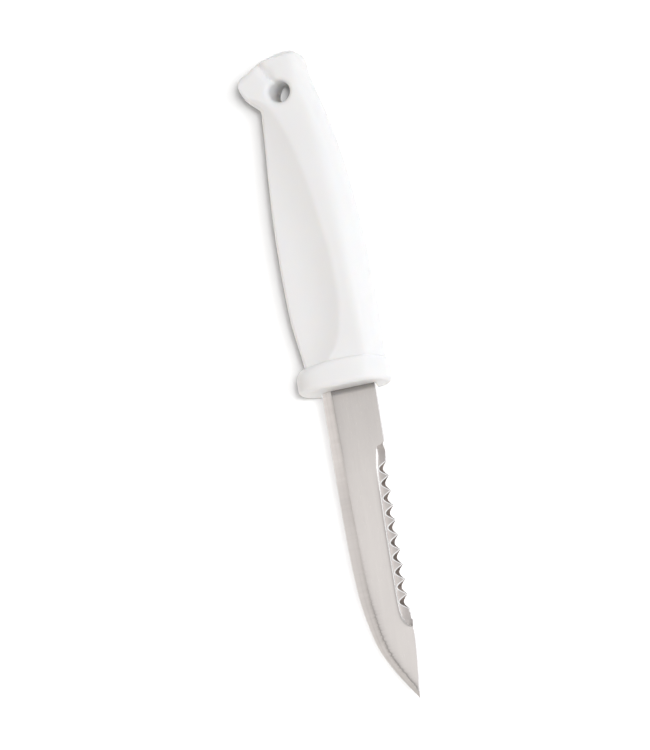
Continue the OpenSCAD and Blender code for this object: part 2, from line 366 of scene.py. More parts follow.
def hollow_inside(x, y):
    """Distance inside the hollow's outline, seen from the side, negative outside it."""
    floor = y - along(HOLLOW_LINE, x)
    front = x - HOLLOW_FRONT + HOLLOW_FRONT_LEAN * (y - SPINE_AT_GUARD)
    front = front / math.hypot(1, HOLLOW_FRONT_LEAN)
    back = HOLLOW_BACK - x
    return soft_low(soft_low(floor, back, HOLLOW_CORNER), front, HOLLOW_FRONT_CORNER)


def hollow_depth(x, y):
    """Depth of the hollow below the flat: a steep wall first, then a floor that falls to the spine."""
    inside = np.maximum(hollow_inside(x, y), 0)
    wall = along(WALL_WIDTH, x)
    span = np.maximum(spine_y(x) - HOLLOW_CUT - along(HOLLOW_LINE, x) - wall, NARROWEST_FLOOR)
    slope = np.minimum((HOLLOW_DEPTH - WALL_SLOPE * wall) / span, STEEPEST_FLOOR)
    floor = WALL_SLOPE * wall + slope * (inside - wall)
    return np.maximum(soft_low(WALL_SLOPE * inside, floor, WALL_BLEND), 0)


def near_height(x, y):
    """Height of the blade's upper face above its centre plane, from the flat to the spine."""
    chamfer = np.maximum(y - (spine_y(x) - SPINE_CHAMFER), 0)
    return BLADE_HALF - np.maximum(hollow_depth(x, y), chamfer)


def cut_back(x):
    """How far the spine's edge lies back where the hollow has thinned it away."""
    front = np.clip((x - CUT_FRONT) / CUT_FRONT_LENGTH, 0, 1)
    back = np.clip((CUT_BACK - x) / CUT_BACK_LENGTH, 0, 1)
    return CUT_DEPTH * ease(np.minimum(front, back))


def gullet_line(x):
    """Height of the gullets' outline on the lower face, far above the spine where there is none."""
    middle = FIRST_GULLET + np.arange(GULLET_COUNT) * GULLET_PITCH
    dx = np.abs(x[:, None] - middle).min(axis=1)
    return GULLET_BOTTOM + np.hypot(GULLET_FLANK * dx, GULLET_ROUND) - GULLET_ROUND


def sawn(x):
    """Where the gullets cut the spine."""
    return gullet_line(x) < spine_y(x)


def blade_stations():
    """Places along the blade, close together where its outline turns."""
    tip_start = BLADE_LENGTH - TIP_STRETCH
    parts = [
        np.arange(0, tip_start, STATION_SPACING),
        np.linspace(tip_start, BLADE_LENGTH, FINE_STATIONS),
        np.linspace(HOLLOW_FRONT + FRONT_STRETCH[0], HOLLOW_FRONT + FRONT_STRETCH[1], FINE_STATIONS),
        np.linspace(HOLLOW_BACK + BACK_STRETCH[0], HOLLOW_BACK + BACK_STRETCH[1], FINE_STATIONS),
        BLADE_LENGTH - TIP_DISTANCES,
    ]
    flank = (SPINE_AT_GUARD - GULLET_BOTTOM + GULLET_ROUND) / GULLET_FLANK + FLANK_MARGIN
    last = FIRST_GULLET + (GULLET_COUNT - 1) * GULLET_PITCH
    steps = np.linspace(-GULLET_PITCH / 2, GULLET_PITCH / 2, GULLET_STATIONS)
    parts += [FIRST_GULLET + i * GULLET_PITCH + steps for i in range(GULLET_COUNT)]
    parts.append(np.linspace(FIRST_GULLET - flank, FIRST_GULLET, FLANK_STATIONS))
    parts.append(np.linspace(last, last + flank, FLANK_STATIONS))
    x = np.unique(np.round(np.concatenate(parts), 4))
    keep = np.concatenate([[True], np.diff(x) > CLOSEST_STATIONS])
    return x[keep]


# Material of each strip round the blade's section, from the edge over the upper face and back
STRIPS = (
    ["steel_bevel"] * 4 + ["steel_flat"] * 5 + ["steel_wall"] * WALL_STEPS + ["steel_hollow"] * FLOOR_STEPS
    + ["steel_rim_painted_highlight", "steel_gullet_painted_shade"] + ["steel_flat"] + ["steel_bevel"] * 3
)
# Materials that take the place of these where the blade has no hollow
PLAIN = {"steel_wall": "steel_rim_painted_highlight", "steel_hollow": "steel_rim_painted_highlight", "steel_gullet_painted_shade": "steel_spine"}
FAR = 20.0  # stands for "nowhere near"


def blade_sections(x):
    """Rings of [x, y, z] points round the blade, one ring for each place in x.

    With them come each point's height above the bevel's upper line, and above the hollow's outline.
    """
    low = edge_y(x)
    spine = spine_y(x)
    wide = along(BEVEL_POINTS, x)
    full = low + wide
    top = np.minimum(full, spine - LINE_GAP)
    rise = BLADE_HALF - EDGE_HALF
    step_y = low + np.minimum(wide * BEVEL_STEP, top - low)
    top_z = EDGE_HALF + rise * np.where(full > top, (top - low) / wide, 1)
    step_share = (step_y - low) / (wide * BEVEL_STEP)
    step_z = np.minimum(EDGE_HALF + rise * BEVEL_STEP_HEIGHT * step_share, top_z)

    line = gullet_line(x)
    lean = math.tan(GULLET_TILT)
    in_saw = sawn(x)

    def solid(y):
        """Whether steel is left at height y, below the gullets and the drawn-in spine."""
        z = near_height(x, y)
        wall = np.where(in_saw, line - (z + BLADE_HALF) * lean, spine)
        return (y < np.minimum(wall, spine - cut_back(x))) & (z > LAND - BLADE_HALF)

    start = bisect(lambda y: hollow_inside(x, y) < 0, top, spine - SPINE_CHAMFER)
    start = np.maximum(start, top)
    rim = bisect(solid, start, np.maximum(spine, start + LEAST_HEIGHT))
    rim_z = near_height(x, rim)
    far = rim + np.where(in_saw, (rim_z + BLADE_HALF) * lean, 0)

    cut = np.where(in_saw, RIM_CHAMFER, SPINE_CHAMFER / 2)
    cut = np.minimum(cut, (rim - start) * RIM_CHAMFER_SHARE)
    drop = np.minimum(cut * RIM_CHAMFER_SLOPE, (rim_z + BLADE_HALF) / 2)
    columns = [(low, 0 * x + EDGE_HALF), (step_y, step_z)]
    for edge in BEVEL_EDGES:
        share = np.clip(1 + edge / np.maximum(top - step_y, LEAST_WIDTH), 0, 1)
        columns.append((step_y + (top - step_y) * share, step_z + (top_z - step_z) * share))
    columns.append((top, 0 * x + BLADE_HALF))
    for edge in FLAT_EDGES:
        columns.append((np.minimum(top + edge, start), 0 * x + BLADE_HALF))
    beside = np.maximum(start - HOLLOW_MARGIN, np.minimum(top + LAST_FLAT_EDGE, start))
    columns.append((beside, 0 * x + BLADE_HALF))
    columns.append((start, near_height(x, start)))
    last = rim - cut
    foot = start + np.minimum(along(WALL_WIDTH, x) + FOOT_MARGIN, (last - start) * FOOT_SHARE)
    for k in range(1, WALL_STEPS + 1):
        y = start + (foot - start) * k / WALL_STEPS
        columns.append((y, near_height(x, y)))
    for k in range(1, FLOOR_STEPS + 1):
        y = foot + (last - foot) * k / FLOOR_STEPS
        columns.append((y, near_height(x, y)))
    columns.append((rim + np.where(in_saw, drop * lean, 0), rim_z - drop))
    columns.append((far, 0 * x - BLADE_HALF))
    columns.append((top, 0 * x - BLADE_HALF))
    columns.append((step_y, -step_z))
    columns.append((low, 0 * x - EDGE_HALF))

    thin = np.where(full > spine, top_z, BLADE_HALF)
    ring = []
    for y, z in columns:
        ring.append(np.stack([x, y, np.clip(z, -thin, thin)], axis=1))
    heights = np.stack([y for y, z in columns], axis=1)
    beyond = np.where((x > HOLLOW_FRONT) & (x < HOLLOW_BACK), start, start + FAR)
    return np.stack(ring, axis=1), heights - full[:, None], heights - beyond[:, None]


def tang_sections():
    """Rings of the hidden tang and of the shoulders that lie in the guard."""
    count = len(STRIPS)
    first = blade_sections(np.array([0.0]))[0][0]
    shoulder = first.copy()
    shoulder[:, 0] = -SHOULDER_DEPTH
    rings = []
    for x in (-TANG_LENGTH, -SHOULDER_DEPTH):
        ring = first.copy()
        ring[:, 0] = x
        ring[:, 1] = np.clip(first[:, 1], TANG[0], TANG[1])
        ring[:, 2] = np.where(np.arange(count) < count - LOWER_POINTS, BLADE_HALF, -BLADE_HALF)
        rings.append(ring)
    rings.append(shoulder)
    return np.stack(rings)


def ring_faces(rings, count):
    """Quads between neighbouring rings, with the index of the strip that each belongs to."""
    faces, strips = [], []
    for r in range(rings - 1):
        for i in range(count):
            a = r * count + i
            b = r * count + (i + 1) % count
            faces.append((a, a + count, b + count, b))
            strips.append(i)
    return faces, strips


def strip_material(strip, x, in_saw):
    """Name of a strip's material at a place along the blade."""
    kind = STRIPS[strip]
    hollowed = HOLLOW_FRONT - OUTLINE_MARGIN < x < HOLLOW_BACK + OUTLINE_MARGIN
    if not hollowed or (kind == "steel_gullet_painted_shade" and not in_saw):
        return PLAIN.get(kind, kind)
    if kind == "steel_wall" and x < BRIGHT_WALL_FRONT:
        return "steel_hollow"
    return kind


def make_blade(materials):
    """The blade with its tang, skinned over its sections."""
    hidden = tang_sections()
    visible, rise, beyond = blade_sections(blade_stations())
    sections = np.concatenate([hidden, visible])
    unseen = np.full(hidden.shape[:2], FAR)
    values = {
        "along": sections[..., 0],                      # distance from the guard
        "rise": np.concatenate([unseen, rise]),         # height above the bevel's upper line
        "beyond": np.concatenate([unseen, beyond]),     # height above the hollow's outline
    }
    rings, count = sections.shape[:2]
    faces, strips = ring_faces(rings, count)
    names = list(materials)
    ring_x = sections[:, 0, 0]
    in_saw = sawn(ring_x)
    slots = []
    for k, strip in enumerate(strips):
        ring = k // count
        slots.append(names.index(strip_material(strip, ring_x[ring], in_saw[ring])))
    faces.append(tuple(range(count)))
    faces.append(tuple((rings - 1) * count + i for i in reversed(range(count))))
    slots += [names.index("steel_flat")] * 2
    ob = make_object("blade_steel", sections.reshape(-1, 3), faces, list(materials.values()), slots)
    for name, value in values.items():
        ob.data.attributes.new(name, "FLOAT", "POINT").data.foreach_set("value", value.ravel())
    clean_mesh(ob, BLADE_MERGE * MM)
    ob.data.set_sharp_from_angle(angle=BLADE_SHARP)
    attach(ob, "root")
    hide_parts("blade")
    return ob


# -------------------------------------------------------------------------- handle
LAST_LINE = len(GRIP_BELLY) - 1


def guard_back(u):
    """Distance from the guard's front face to its bowed back."""
    return GUARD_LENGTH + GUARD_BOW * (1 - u * u)


def grip_point(t, u):
    """[back, height] on section line t of the grip, u from -1 at the belly to 1 at the spine."""
    v = (u + 1) / 2
    belly = through(GRIP_BELLY, t)
    spine = through(GRIP_SPINE, t)
    bow = np.maximum(t - LAST_LINE + BUTT_BOW_LINES, 0) / BUTT_BOW_LINES
    ends = len(BUTT_POINTS) - 1
    first, last = np.array(BUTT_POINTS[0]), np.array(BUTT_POINTS[-1])
    chord = first + (last - first) * v[..., None]
    p = belly + (spine - belly) * v[..., None]
    p = p + (through(BUTT_POINTS, v * ends) - chord) * (bow * bow)[..., None]
    line0, line1 = GRIP_BELLY[0][0], GRIP_BELLY[1][0]
    stretch = (line1 - guard_back(u)) / (line1 - line0)
    near_guard = guard_back(u) + (p[..., 0] - line0) * stretch
    back = np.where(t < 1, near_guard, p[..., 0]) - BUTT_ROUNDING * t / LAST_LINE
    return np.stack([back, p[..., 1]], axis=-1)


def groove_drop(p):
    """Depth of the lanyard groove below the side face."""
    along_axis = np.array([math.cos(GROOVE_TURN), -math.sin(GROOVE_TURN)])
    across_axis = np.array([math.sin(GROOVE_TURN), math.cos(GROOVE_TURN)])
    rel = p - LANYARD - GROOVE_OFFSET * across_axis
    away = rel @ along_axis
    share = np.clip(1 - np.abs(rel @ across_axis) / GROOVE_WIDTH, 0, 1)
    return GROOVE_DEPTH * share ** GROOVE_SHAPE * np.clip(away / LANYARD_RADIUS, 0, 1)


def rim_drop(p):
    """Depth of the rounding at the mouth of the lanyard hole."""
    d = np.linalg.norm(p - LANYARD, axis=-1)
    inner = np.clip((LANYARD_RADIUS + LANYARD_RIM - d) / LANYARD_RIM, 0, 1)
    return LANYARD_RIM * (1 - np.sqrt(1 - inner * inner))


def face_height(p, u):
    """Height of the grip's side face above the centre plane."""
    swell = GRIP_HALF * along(THICKNESS_POINTS, p[..., 0])
    crown = np.where(u > 0, along(SPINE_CROWN, p[..., 0]), along(BELLY_CROWN, p[..., 0]))
    arch = crown * swell * (1 - np.abs(u) ** SECTION_POWER) ** (1 / SECTION_POWER)
    gap = along(CREST_POINTS, p[..., 0]) - p[..., 1]
    near = np.clip(gap, 0, SCOOP_WIDTH)
    dip = SCOOP_SLOPE * (near - near * near / (2 * SCOOP_WIDTH)) + SCOOP_FALL * gap
    fall = np.where(gap > 0, dip, gap * (SCOOP_SLOPE + SCOOP_FALL))
    rounded = soft_low(swell, arch, np.where(u > 0, SPINE_BLEND, BELLY_BLEND))
    z = soft_low(rounded, swell - fall, CREST_BLEND)
    return z - (groove_drop(p) + rim_drop(p)) * np.clip(z / RELIEF_FADE, 0, 1)


def guard_point(u, inset):
    """[height, side] on the guard's outline, drawn in by inset."""
    arch = soft_low(1.0, GUARD_CROWN * (1 - np.abs(u) ** GUARD_POWER) ** (1 / GUARD_POWER), GUARD_BLEND)
    return np.stack([
        GUARD_CENTRE + (GUARD_HALF_HEIGHT - inset) * u,
        (GUARD_HALF_THICKNESS - inset) * arch,
    ], axis=-1)


def section_shares():
    """Places across the section from belly to spine, close together at both ends."""
    u = np.sin(np.linspace(-math.pi / 2, math.pi / 2, SECTION_PLACES))
    near_seam = 1 - SEAM_GAP
    return np.unique(np.concatenate([u, [-near_seam, near_seam]]))


def grip_lines():
    """Section lines along the grip, evenly spaced in millimetres."""
    t = [0.0]
    middle = (np.array(GRIP_BELLY) + np.array(GRIP_SPINE)) / 2
    for i in range(LAST_LINE):
        steps = max(2, round(float(np.linalg.norm(middle[i + 1] - middle[i])) / GRIP_SPACING))
        t += [i + (k + 1) / steps for k in range(steps)]
    return np.array(t)


def solve_grip(target, t, u, rounds=10):
    """Section line and share at which the grip passes through each target point."""
    step = 1e-4
    for _ in range(rounds):
        miss = grip_point(t, u) - target
        dt = (grip_point(t + step, u) - grip_point(t - step, u)) / (2 * step)
        du = (grip_point(t, u + step) - grip_point(t, u - step)) / (2 * step)
        det = dt[..., 0] * du[..., 1] - dt[..., 1] * du[..., 0]
        t = t - (miss[..., 0] * du[..., 1] - miss[..., 1] * du[..., 0]) / det
        u = u - (miss[..., 1] * dt[..., 0] - miss[..., 0] * dt[..., 1]) / det
    return t, u


def bend_round_hole(t, u):
    """Moves grid lines so that a square of them becomes the lanyard hole's circle.

    Gives the moved lines, which points fall inside the hole, and the row and column at its centre.
    """
    p = grip_point(t, u)
    miss = np.linalg.norm(p - LANYARD, axis=-1)
    r0, c0 = np.unravel_index(np.argmin(miss), miss.shape)
    rows = slice(r0 - BLEND_CELLS, r0 + BLEND_CELLS + 1)
    cols = slice(c0 - BLEND_CELLS, c0 + BLEND_CELLS + 1)
    cells = np.arange(-BLEND_CELLS, BLEND_CELLS + 1)
    a, b = np.meshgrid(cells, cells, indexing="ij")
    ring = np.maximum(np.abs(a), np.abs(b))
    safe = np.maximum(ring, 1)
    # Angle round the hole: each side of the square takes a quarter turn
    turn = np.where(
        np.abs(a) >= np.abs(b),
        np.where(a > 0, 0, math.pi) + np.where(a > 0, 1, -1) * (b / safe) * math.pi / 4,
        np.where(b > 0, math.pi / 2, -math.pi / 2) - np.where(b > 0, 1, -1) * (a / safe) * math.pi / 4,
    )
    over = np.clip((ring - HOLE_CELLS) / RIM_CELLS, 0, 1)
    beyond = np.maximum(ring - HOLE_CELLS - RIM_CELLS, 0)
    radius = LANYARD_RADIUS + LANYARD_RIM * (1 - np.cos(over * math.pi / 2)) + beyond * GRIP_SPACING
    # Grid axes near the hole, so that the circle starts where the rows and columns point
    row_axis = p[r0 + 1, c0] - p[r0 - 1, c0]
    col_axis = p[r0, c0 + 1] - p[r0, c0 - 1]
    row_angle = math.atan2(row_axis[1], row_axis[0])
    col_side = 1 if row_axis[0] * col_axis[1] - row_axis[1] * col_axis[0] > 0 else -1
    angle = row_angle + col_side * turn
    circle = LANYARD + radius[..., None] * np.stack([np.cos(angle), np.sin(angle)], axis=-1)
    share = ease(np.clip((ring - HOLE_CELLS - RIM_CELLS) / (BLEND_CELLS - HOLE_CELLS - RIM_CELLS), 0, 1))
    target = circle + (p[rows, cols] - circle) * share[..., None]
    use = (ring >= HOLE_CELLS) & (ring < BLEND_CELLS)
    new_t, new_u = solve_grip(target[use], t[rows, cols][use], u[rows, cols][use])
    t[rows, cols][use] = new_t
    u[rows, cols][use] = new_u
    removed = np.zeros(t.shape, bool)
    removed[rows, cols] = ring < HOLE_CELLS
    return t, u, removed, (r0, c0)


def slot_ring(u, back, low, high, half):
    """Outline of the cavity that the steel fills, as a row of the handle's grid."""
    y = low + (high - low) * (u + 1) / 2
    return np.stack([np.full_like(u, back), y, half(y)], axis=-1)


def handle_rows(u):
    """Rows of [back, height, side] points over the upper half, from the cavity's end to the grip."""
    blade_low, blade_high = edge_y(0.0) - SLOT_GAP, SPINE_AT_GUARD + SLOT_GAP
    tang_low, tang_high = TANG[0] - SLOT_GAP, TANG[1] + SLOT_GAP

    def blade_half(y):
        sloped = EDGE_HALF + (y - blade_low) * (BLADE_HALF - EDGE_HALF) / BEVEL_POINTS[0][1]
        return np.clip(sloped, 0, BLADE_HALF) + SLOT_GAP

    def tang_half(y):
        return np.full_like(y, BLADE_HALF + SLOT_GAP)

    rows = [
        slot_ring(u, TANG_LENGTH + SLOT_GAP, tang_low, tang_high, tang_half),
        slot_ring(u, SHOULDER_DEPTH + SLOT_GAP, tang_low, tang_high, tang_half),
        slot_ring(u, SHOULDER_DEPTH + SLOT_GAP, blade_low, blade_high, blade_half),
        slot_ring(u, 0.0, blade_low, blade_high, blade_half),
    ]
    for k in range(GUARD_RIM_STEPS + 1):
        a = math.pi / 2 * k / GUARD_RIM_STEPS
        g = guard_point(u, GUARD_RIM * (1 - math.sin(a)))
        back = np.full_like(u, GUARD_RIM * (1 - math.cos(a)))
        rows.append(np.concatenate([back[:, None], g], axis=1))
    g = guard_point(u, 0)
    p = grip_point(np.zeros_like(u), u)
    z = face_height(p, u)
    edge = np.hypot(g[:, 0] - p[:, 1], g[:, 1] - z)
    depth = np.minimum(edge, GUARD_LENGTH / 2)
    for k in range(1, GUARD_SIDE_STEPS):
        share = k / GUARD_SIDE_STEPS
        back = GUARD_RIM + (guard_back(u) - depth - GUARD_RIM) * share
        rows.append(np.concatenate([back[:, None], g], axis=1))
    for k in range(GUARD_BACK_STEPS):
        a = math.pi / 2 * k / GUARD_BACK_STEPS
        out = math.cos(a)
        back = guard_back(u) - depth * (1 - math.sin(a))
        height = p[:, 1] + (g[:, 0] - p[:, 1]) * out
        side = z + (g[:, 1] - z) * out
        rows.append(np.stack([back, height, side], axis=-1))
    return rows


def butt_rows(u):
    """Rows of points that round the grip's last section line off into the butt's end."""
    rows = []
    last_line = grip_point(np.full_like(u, float(LAST_LINE)), u)
    for k in range(1, BUTT_STEPS + 1):
        a = math.pi / 2 * k / BUTT_STEPS
        p = last_line + np.array([BUTT_ROUNDING * math.sin(a), 0])
        z = face_height(p, u) * (1 - BUTT_ROUNDING / GRIP_HALF * (1 - math.cos(a)))
        rows.append(np.concatenate([p, z[:, None]], axis=1))
    return rows


def hole_loop(row, col):
    """Places in the grid round the square that became the lanyard hole's circle."""
    k = HOLE_CELLS
    loop = [(row - k, col + i) for i in range(-k, k)] + [(row + i, col + k) for i in range(-k, k)]
    return loop + [(row + k, col - i) for i in range(-k, k)] + [(row - i, col - k) for i in range(-k, k)]


def make_handle(material):
    """The moulding: a grid over its upper half, mirrored below, with the cavity and the lanyard hole."""
    u = section_shares()
    t = grip_lines()
    tt, uu = np.meshgrid(t, u, indexing="ij")
    tt, uu, removed, centre = bend_round_hole(tt, uu)
    p = grip_point(tt, uu)
    z = face_height(p, uu)
    grip = np.concatenate([p, z[..., None]], axis=-1)
    front = np.stack(handle_rows(u))
    butt = np.stack(butt_rows(u))
    top = np.concatenate([front, grip, butt])
    lead = len(front)
    rows, cols = top.shape[:2]
    gone = np.zeros((rows, cols), bool)
    gone[lead:lead + len(t)] = removed
    top[..., 2][:, [0, -1]] = 0
    points = np.stack([-top[..., 0], top[..., 1], top[..., 2]], axis=-1)
    under = points * np.array([1, 1, -1])
    index = np.arange(rows * cols).reshape(rows, cols)
    below = index + rows * cols
    below[:, 0] = index[:, 0]
    below[:, -1] = index[:, -1]
    faces = []
    for r in range(rows - 1):
        for c in range(cols - 1):
            if gone[r, c] or gone[r + 1, c] or gone[r, c + 1] or gone[r + 1, c + 1]:
                continue
            faces.append((index[r, c], index[r, c + 1], index[r + 1, c + 1], index[r + 1, c]))
            faces.append((below[r, c], below[r + 1, c], below[r + 1, c + 1], below[r, c + 1]))
    for c in range(cols - 1):
        faces.append((index[-1, c], index[-1, c + 1], below[-1, c + 1], below[-1, c]))
        faces.append((index[0, c], below[0, c], below[0, c + 1], index[0, c + 1]))
    loop = hole_loop(centre[0] + lead, centre[1])
    for a, b in zip(loop, loop[1:] + loop[:1]):  # wall of the lanyard hole
        faces.append((index[a], index[b], below[b], below[a]))
    all_points = np.concatenate([points.reshape(-1, 3), under.reshape(-1, 3)])
    faces = [tuple(dict.fromkeys(int(i) for i in f)) for f in faces]
    faces = [f for f in faces if len(f) > 2]
    ob = make_object("handle_moulding", all_points, faces, [material])
    clean_mesh(ob, HANDLE_MERGE * MM)
    ob.data.set_sharp_from_angle(angle=HANDLE_SHARP)
    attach(ob, "root")
    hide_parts("handle")
    return ob


# ----------------------------------------------------------------------- materials
# Places of a colour mix's sockets
MIX_FACTOR, MIX_A, MIX_B, MIX_RESULT = 0, 6, 7, 2


class Nodes:
    """Short way to build a material's node tree."""

    def __init__(self, name):
        self.material = bpy.data.materials.new(name)
        self.material.use_nodes = True
        self.tree = self.material.node_tree
        self.shader = self.tree.nodes["Principled BSDF"]

    def add(self, kind, **values):
        """New node, with values for its own settings or its input sockets."""
        node = self.tree.nodes.new("ShaderNode" + kind)
        for key, value in values.items():
            if hasattr(node, key):
                setattr(node, key, value)
            else:
                node.inputs[key].default_value = value
        return node

    def link(self, a, b):
        self.tree.links.new(a, b)

    def noise(self, scale, stretch=(1, 1, 1), detail=2.0, roughness=0.5):
        """Noise of about scale waves to the metre, longer along an axis whose stretch is small."""
        coords = self.add("TexCoord")
        mapping = self.add("Mapping")
        mapping.inputs["Scale"].default_value = [scale * s for s in stretch]
        self.link(coords.outputs["Object"], mapping.inputs["Vector"])
        noise = self.add("TexNoise", Scale=1.0, Detail=detail, Roughness=roughness)
        self.link(mapping.outputs["Vector"], noise.inputs["Vector"])
        return noise.outputs["Fac"]

    def spread(self, value, low, high):
        """Maps a noise of about 0.3 to 0.7 to the range from low to high."""
        node = self.add("MapRange")
        node.inputs["From Min"].default_value = 0.3
        node.inputs["From Max"].default_value = 0.7
        node.inputs["To Min"].default_value = low
        node.inputs["To Max"].default_value = high
        self.link(value, node.inputs["Value"])
        return node.outputs["Result"]

    def tint(self, value, dark, light):
        """Colour from dark at 0 to light at 1."""
        mix = self.add("Mix", data_type="RGBA")
        self.link(value, mix.inputs[MIX_FACTOR])
        mix.inputs[MIX_A].default_value = (*dark, 1)
        mix.inputs[MIX_B].default_value = (*light, 1)
        return mix.outputs[MIX_RESULT]

    def read(self, name):
        """Value that the mesh's points carry under this name."""
        node = self.add("Attribute")
        node.attribute_name = name
        return node.outputs["Fac"]

    def math(self, operation, *values):
        node = self.add("Math")
        node.operation = operation
        for k, v in enumerate(values):
            if isinstance(v, bpy.types.NodeSocket):
                self.link(v, node.inputs[k])
            else:
                node.inputs[k].default_value = v
        return node.outputs[0]

    def bell(self, value, middle, width, strength):
        """The strength where the value is the middle, falling off on both sides over the width."""
        away = self.math("DIVIDE", self.math("SUBTRACT", value, middle), width)
        return self.math("DIVIDE", strength, self.math("ADD", self.math("POWER", away, 2.0), 1.0))

    def graph(self, value, points):
        """Result read off straight lines between points [value, result]."""
        total = float(points[0][1])
        for (x0, y0), (x1, y1) in zip(points, points[1:]):
            share = self.add("MapRange")
            share.inputs["From Min"].default_value = x0
            share.inputs["From Max"].default_value = x1
            share.inputs["To Max"].default_value = y1 - y0
            self.link(value, share.inputs["Value"])
            total = self.math("ADD", share.outputs["Result"], total)
        return total

    def scaled(self, color, factor):
        node = self.add("VectorMath")
        node.operation = "SCALE"
        self.link(color, node.inputs[0])
        self.link(factor, node.inputs["Scale"])
        return node.outputs["Vector"]

    def bump(self, value, strength, distance, under=None):
        node = self.add("Bump")
        node.inputs["Strength"].default_value = strength
        node.inputs["Distance"].default_value = distance
        self.link(value, node.inputs["Height"])
        if under is not None:
            self.link(under, node.inputs["Normal"])
        return node.outputs["Normal"]


def plastic():
    """White plastic with slow waves, a fine moulded grain and light that scatters softly inside it."""
    n = Nodes("white_polypropylene")
    s = n.shader
    waves = n.noise(60, detail=3)
    sheen = n.noise(900, detail=3)
    grain = n.noise(2600, detail=2)
    n.link(n.tint(n.spread(waves, 0, 1), (0.9, 0.89, 0.879), (0.915, 0.907, 0.899)), s.inputs["Base Color"])
    n.link(n.spread(sheen, 0.36, 0.46), s.inputs["Roughness"])
    wavy = n.bump(waves, strength=0.05, distance=0.0006)
    n.link(n.bump(grain, strength=0.12, distance=0.00003, under=wavy), s.inputs["Normal"])
    s.inputs["IOR"].default_value = 1.49
    s.inputs["Specular IOR Level"].default_value = 0.32
    s.inputs["Subsurface Weight"].default_value = 0.5
    s.inputs["Subsurface Radius"].default_value = (1.0, 0.85, 0.7)
    s.inputs["Subsurface Scale"].default_value = 0.0015
    return n.material


def dark_lines(n, line):
    """Share of the light lost in the ground steel's dark lines.

    They are the ragged grinding line beside the bevel, a faint line on the bevel, and painted shade along
    the hollow's edge.
    """
    place, rise = n.read("along"), n.read("rise")
    streaks = n.noise(STREAKS, (1, 0.12, 0.12), detail=3)
    ragged = n.math("MULTIPLY_ADD", streaks, 2 * RAGGED_REACH, -RAGGED_REACH)
    away = n.math("ADD", rise, n.math("MULTIPLY", ragged, n.graph(place, RAGGED)))
    grinding = n.math("ADD", n.bell(away, *LINE_CORE), n.bell(away, *LINE_SKIRT))
    grinding = n.math("ADD", grinding, n.bell(rise, *FAINT_LINE))
    loss = n.math("MULTIPLY", grinding, n.graph(place, line))
    shade = n.math("MULTIPLY", n.bell(n.read("beyond"), *HOLLOW_EDGE_PAINTED_SHADE), n.graph(place, EDGE_PAINTED_SHADE))
    return n.math("ADD", loss, shade)


def steel(name, dark, light, metallic=1.0, stretch=(0.1, 1, 1), roughness=0.32, relief=0.2,
          painted_gain=None, fall=None, line=None):
    """Ground steel, whose grain runs along the axis whose stretch is small.

    A lower metallic value stands for a duller, more scattering grind. The gain is painted light and shade
    at places along the blade, fall is painted shade at heights above the hollow's outline, and line the
    strength along the blade of the dark grinding line beside the bevel.
    """
    n = Nodes(name)
    s = n.shader
    s.inputs["Metallic"].default_value = metallic
    fine = n.noise(FINE_GRAIN, stretch, detail=3, roughness=0.6)
    broad = n.noise(BROAD_GRAIN, stretch, detail=2)
    color = n.tint(n.spread(broad, 0, 1), dark, light)
    if painted_gain:
        color = n.scaled(color, n.graph(n.read("along"), painted_gain))
    if fall:
        color = n.scaled(color, n.graph(n.read("beyond"), fall))
    if line:
        color = n.scaled(color, n.math("SUBTRACT", 1.0, dark_lines(n, line)))
    n.link(color, s.inputs["Base Color"])
    smoothest, roughest = (roughness + d for d in ROUGHNESS_SPREAD)
    n.link(n.spread(fine, smoothest, roughest), s.inputs["Roughness"])
    n.link(n.bump(fine, relief, GRAIN_DEPTH), s.inputs["Normal"])
    return n.material


def steel_materials():
    """The blade's materials by name: one for each part of its face, several with painted light and shade.
    """
    looks = {
        "steel_flat": dict(
            dark=(0.675, 0.646, 0.63), light=(0.7, 0.671, 0.652), relief=0.15,
            painted_gain=FLAT_PAINTED_SHADE, line=GRIND_LINE),
        "steel_bevel": dict(
            dark=(0.93, 0.895, 0.876), light=(0.98, 0.945, 0.926), metallic=0.5, stretch=(1, 0.05, 0.05),
            roughness=0.36, painted_gain=BEVEL_PAINTED_LIGHT, line=GRIND_LINE),
        # Its near-white colour boosts the wall's real reflection of the floor, in part a painted highlight
        "steel_wall": dict(
            dark=(0.95, 0.94, 0.93), light=(0.97, 0.96, 0.95), metallic=0.9, roughness=0.2, relief=0.05,
            painted_gain=WALL_PAINTED_LIGHT),
        "steel_hollow": dict(
            dark=(0.82, 0.75, 0.71), light=(0.93, 0.86, 0.815), metallic=0.5, stretch=(0.3, 1, 1),
            roughness=0.42, relief=0.1, painted_gain=HOLLOW_PAINTED_SHADE, fall=HOLLOW_PAINTED_FALL),
        # Painted highlight: rims and chamfers are white and not metallic, standing for the light that they
        # catch
        "steel_rim_painted_highlight": dict(
            dark=(0.98, 0.975, 0.97), light=(0.99, 0.985, 0.98), metallic=0.0, stretch=(1, 1, 1),
            roughness=0.45, relief=0.05),
        "steel_spine": dict(
            dark=(0.9, 0.88, 0.87), light=(0.95, 0.93, 0.92), stretch=(0.03, 1, 1),
            roughness=0.25, relief=0.1),
        # Painted shade: near-black steel stands for the dark inside of the gullets
        "steel_gullet_painted_shade": dict(
            dark=(0.1, 0.083, 0.073), light=(0.24, 0.2, 0.18), stretch=(1, 0.1, 0.1),
            roughness=0.35, relief=0.3),
    }
    return {name: steel(name, **look) for name, look in looks.items()}


# --------------------------------------------------------------------------- stage
WHITE = (1.0, 1.0, 1.0)
COOL_WHITE = (0.97, 1.0, 1.04)


